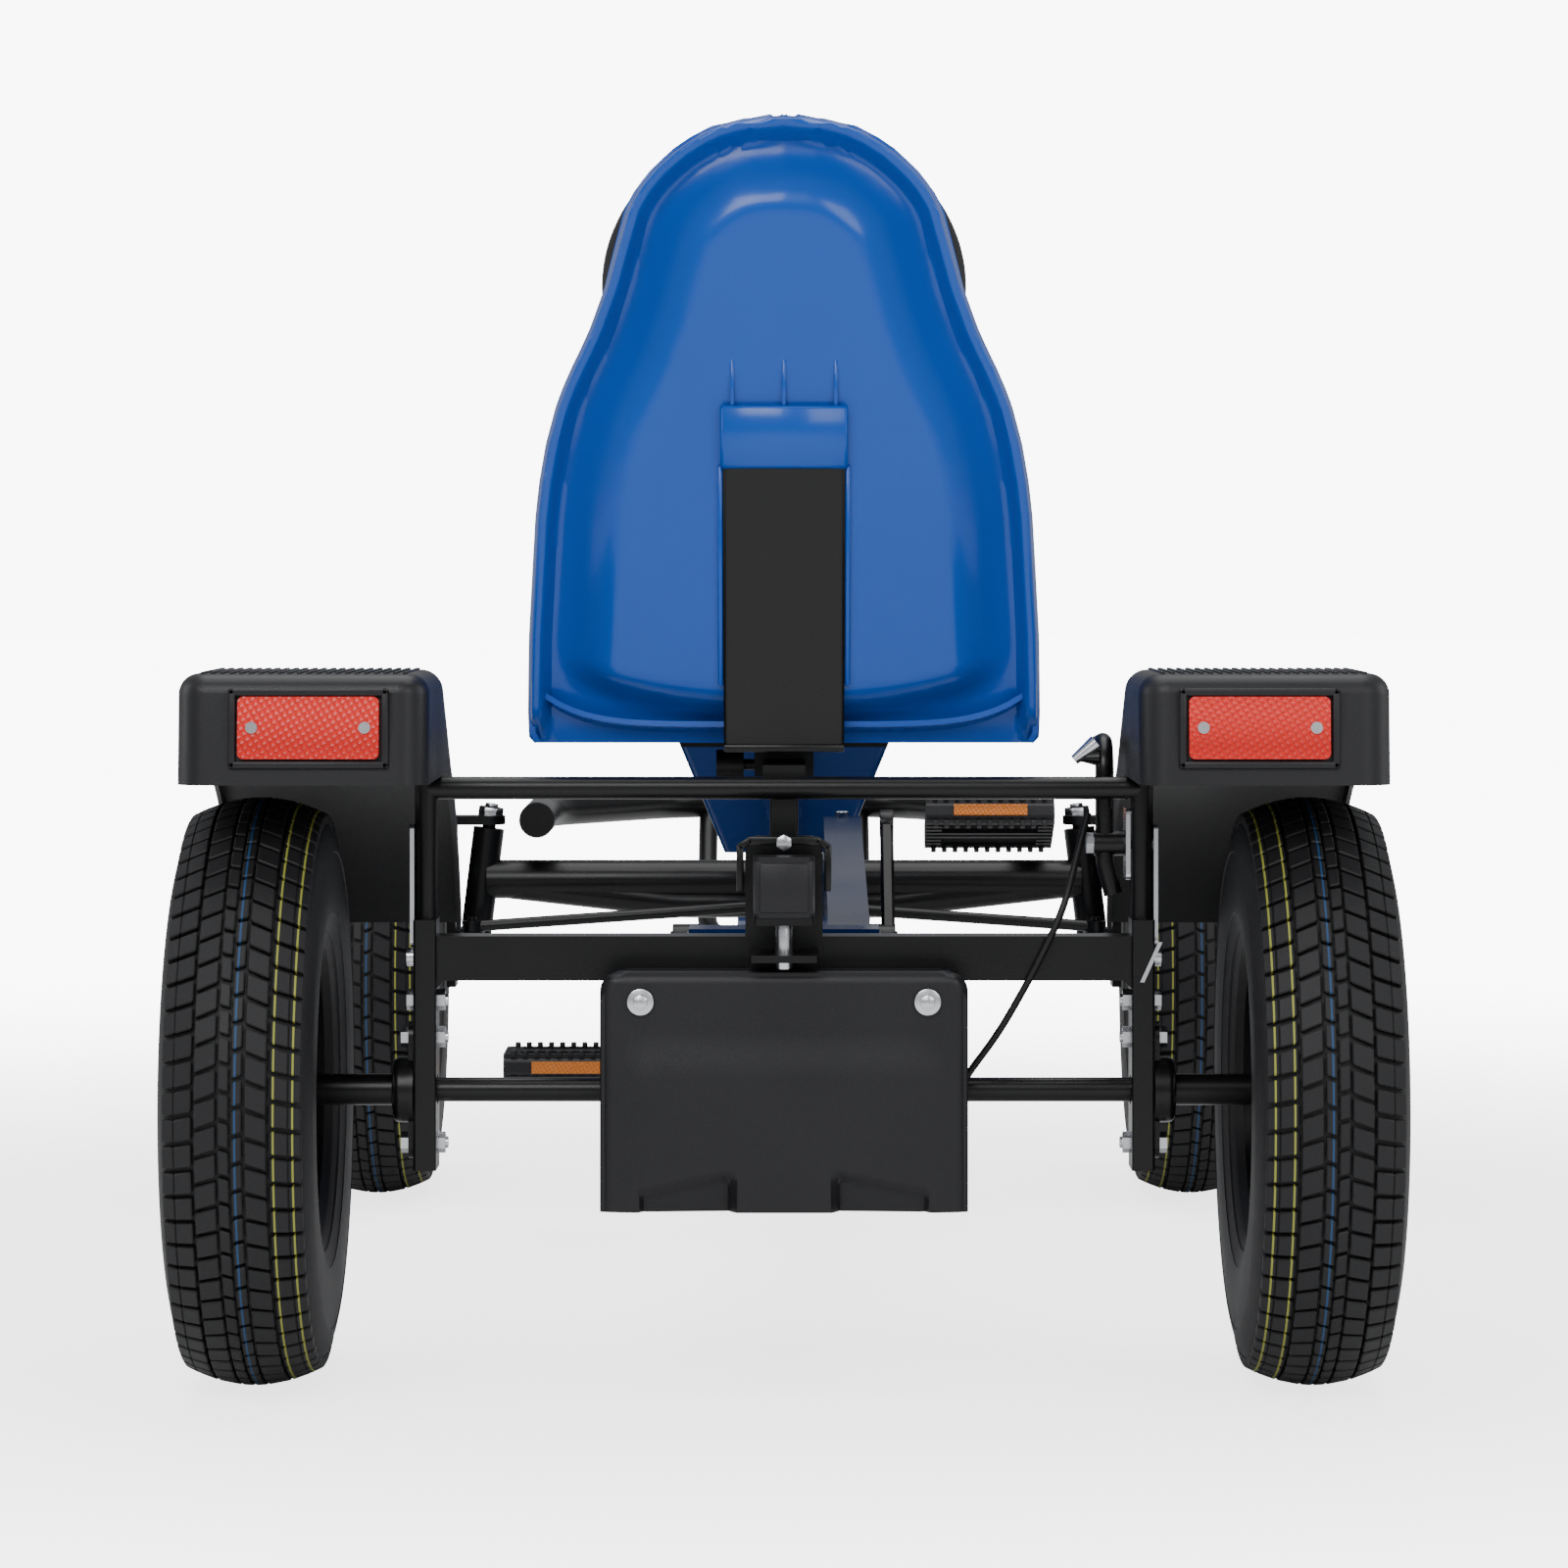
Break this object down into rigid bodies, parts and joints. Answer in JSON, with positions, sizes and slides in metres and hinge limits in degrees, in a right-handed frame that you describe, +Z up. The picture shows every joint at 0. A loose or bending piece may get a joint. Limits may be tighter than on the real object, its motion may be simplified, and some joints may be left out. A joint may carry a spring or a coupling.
{
  "type": "pedal go kart",
  "caption": "Pedal go kart with pneumatic tyres, chain drive, swinging steered front axle, sliding bucket seat, rear mudguards, lever band brake and tow hitch.",
  "frame": {"origin": "on the ground at the centre of the bounding box", "axes": "+X forward, +Y to the driver's left, +Z up"},
  "size_m": [1.61, 0.8412, 0.935],
  "materials": {
    "blue_paint": "gloss",
    "navy_paint": "gloss",
    "black_paint": "satin",
    "black_plastic": "satin",
    "blue_plastic": "gloss",
    "red_lens": "prismatic",
    "amber_lens": "prismatic",
    "zinc_steel": "zinc plated",
    "tyre_rubber": "matt",
    "cable_sheath": "satin"
  },
  "bodies": {
    "chassis": {"main_frame": "blue_paint", "rear_frame": "black_paint", "mudguard_hoop": "black_paint", "mudguards": "black_plastic", "rear_reflectors": "red_lens", "reflector_rivets": "zinc_steel", "frame_bolts": "zinc_steel", "axle_bearings": "black_paint", "pivot_bolt": "zinc_steel", "column_cowl": "blue_paint", "seat_rail": "black_paint", "hub_axle": "zinc_steel", "chain_case": "navy_paint", "drive_chain": "zinc_steel", "axle_chain": "zinc_steel", "brake_band": "black_paint", "brake_cable": "cable_sheath", "lever_bracket": "zinc_steel", "guard_braces": "zinc_steel", "chain_cover": "black_plastic", "cover_bolts": "zinc_steel", "hitch_bracket": "black_paint", "bumper": "black_paint"},
    "seat": {"seat_carriage": "black_paint", "seat_bracket": "black_paint", "seat_shell": "blue_plastic"},
    "clamp": {"seat_clamp": "black_plastic"},
    "tow_pin": {"tow_pin": "black_plastic"},
    "rear_axle": {"rear_axle_shaft": "black_paint", "axle_nuts": "zinc_steel", "axle_sprocket": "zinc_steel", "brake_drum": "zinc_steel", "rear_rim_left": "black_paint", "rear_rim_right": "black_paint", "rear_tyre_left": "tyre_rubber", "rear_tyre_right": "tyre_rubber"},
    "hub_output": {"hub_shell": "zinc_steel"},
    "hub_input": {"driver_sprocket": "zinc_steel"},
    "crank": {"crank_axle": "zinc_steel", "chainring": "black_paint", "crank_left": "black_paint", "crank_right": "black_paint"},
    "pedal_left": {"pedal_left": "black_plastic", "pedal_reflectors_left": "amber_lens"},
    "pedal_right": {"pedal_right": "black_plastic", "pedal_reflectors_right": "amber_lens"},
    "front_axle": {"front_beam": "black_paint"},
    "knuckle_left": {"knuckle_left": "black_paint"},
    "knuckle_right": {"knuckle_right": "black_paint"},
    "tie_rod_left": {"tie_rod_left": "black_paint"},
    "tie_rod_right": {"tie_rod_right": "black_paint"},
    "front_wheel_left": {"front_rim_left": "black_paint", "front_tyre_left": "tyre_rubber"},
    "front_wheel_right": {"front_rim_right": "black_paint", "front_tyre_right": "tyre_rubber"},
    "steering_wheel": {"upper_shaft": "zinc_steel", "steering_wheel": "black_plastic"},
    "steering_column": {"steering_column": "black_paint"},
    "brake_lever": {"brake_lever": "black_paint"}
  },
  "joints": [
    {"name": "seat_slide", "type": "slide", "parent": "chassis", "child": "seat", "axis": [1, 0, 0], "range_m": [-0.06, 0.06]},
    {"name": "seat_clamp_turn", "type": "hinge", "parent": "seat", "child": "clamp", "pos_m": [-0.43, 0.032, 0.426], "axis": [0, 1, 0], "range_deg": [0, 90]},
    {"name": "tow_pin_lift", "type": "slide", "parent": "chassis", "child": "tow_pin", "axis": [0, 0, 1], "range_m": [0, 0.04]},
    {"name": "rear_axle_spin", "type": "hinge", "parent": "chassis", "child": "rear_axle", "pos_m": [-0.6, 0, 0.205], "axis": [0, 1, 0], "continuous": true},
    {"name": "hub_output_spin", "type": "hinge", "parent": "chassis", "child": "hub_output", "pos_m": [-0.41, 0, 0.226], "axis": [0, 1, 0], "continuous": true},
    {"name": "crank_spin", "type": "hinge", "parent": "chassis", "child": "crank", "pos_m": [0.225, 0, 0.246], "axis": [0, 1, 0], "continuous": true},
    {"name": "hub_input_spin", "type": "hinge", "parent": "chassis", "child": "hub_input", "pos_m": [-0.41, -0.05, 0.226], "axis": [0, 1, 0], "continuous": true},
    {"name": "pedal_left_spin", "type": "hinge", "parent": "crank", "child": "pedal_left", "pos_m": [0.14633, 0.18, 0.14886], "axis": [0, 1, 0], "continuous": true},
    {"name": "pedal_right_spin", "type": "hinge", "parent": "crank", "child": "pedal_right", "pos_m": [0.30367, -0.18, 0.34314], "axis": [0, 1, 0], "continuous": true},
    {"name": "axle_swing", "type": "hinge", "parent": "chassis", "child": "front_axle", "pos_m": [0.47, 0, 0.284], "axis": [1, 0, 0], "range_deg": [-4, 4]},
    {"name": "steering_turn", "type": "hinge", "parent": "chassis", "child": "steering_wheel", "pos_m": [-0.03459, 0, 0.7995], "axis": [-0.9063, 0, 0.4226], "range_deg": [-36, 36]},
    {"name": "column_turn", "type": "hinge", "parent": "chassis", "child": "steering_column", "pos_m": [0.4327, 0, 0.262], "axis": [-0.5, 0, 0.866], "range_deg": [-36, 36]},
    {"name": "knuckle_left_turn", "type": "hinge", "parent": "front_axle", "child": "knuckle_left", "pos_m": [0.47, 0.274, 0.287], "axis": [0, -0.1219, 0.9925], "range_deg": [-15.48, 15.48]},
    {"name": "tie_rod_left_turn", "type": "hinge", "parent": "knuckle_left", "child": "tie_rod_left", "pos_m": [0.408, 0.28026, 0.2455], "axis": [0, 0, 1], "range_deg": [-15.48, 15.48]},
    {"name": "front_wheel_left_spin", "type": "hinge", "parent": "knuckle_left", "child": "front_wheel_left", "pos_m": [0.47, 0.3675, 0.205], "axis": [0, 1, 0], "continuous": true},
    {"name": "knuckle_right_turn", "type": "hinge", "parent": "front_axle", "child": "knuckle_right", "pos_m": [0.47, -0.274, 0.287], "axis": [0, 0.1219, 0.9925], "range_deg": [-15.48, 15.48]},
    {"name": "tie_rod_right_turn", "type": "hinge", "parent": "knuckle_right", "child": "tie_rod_right", "pos_m": [0.408, -0.28026, 0.2455], "axis": [0, 0, 1], "range_deg": [-15.48, 15.48]},
    {"name": "front_wheel_right_spin", "type": "hinge", "parent": "knuckle_right", "child": "front_wheel_right", "pos_m": [0.47, -0.3675, 0.205], "axis": [0, 1, 0], "continuous": true},
    {"name": "brake_lever_pull", "type": "hinge", "parent": "chassis", "child": "brake_lever", "pos_m": [-0.583, -0.226, 0.377], "axis": [0, 1, 0], "range_deg": [0, 25]}
  ],
  "couplings": [
    {"joint": "hub_output_spin", "follows": "rear_axle_spin", "ratio": 1},
    {"joint": "hub_input_spin", "follows": "crank_spin", "ratio": 2.4},
    {"joint": "column_turn", "follows": "steering_turn", "ratio": 1},
    {"joint": "knuckle_left_turn", "follows": "steering_turn", "ratio": 0.43},
    {"joint": "knuckle_right_turn", "follows": "steering_turn", "ratio": 0.43},
    {"joint": "tie_rod_left_turn", "follows": "steering_turn", "ratio": -0.43},
    {"joint": "tie_rod_right_turn", "follows": "steering_turn", "ratio": -0.43}
  ]
}
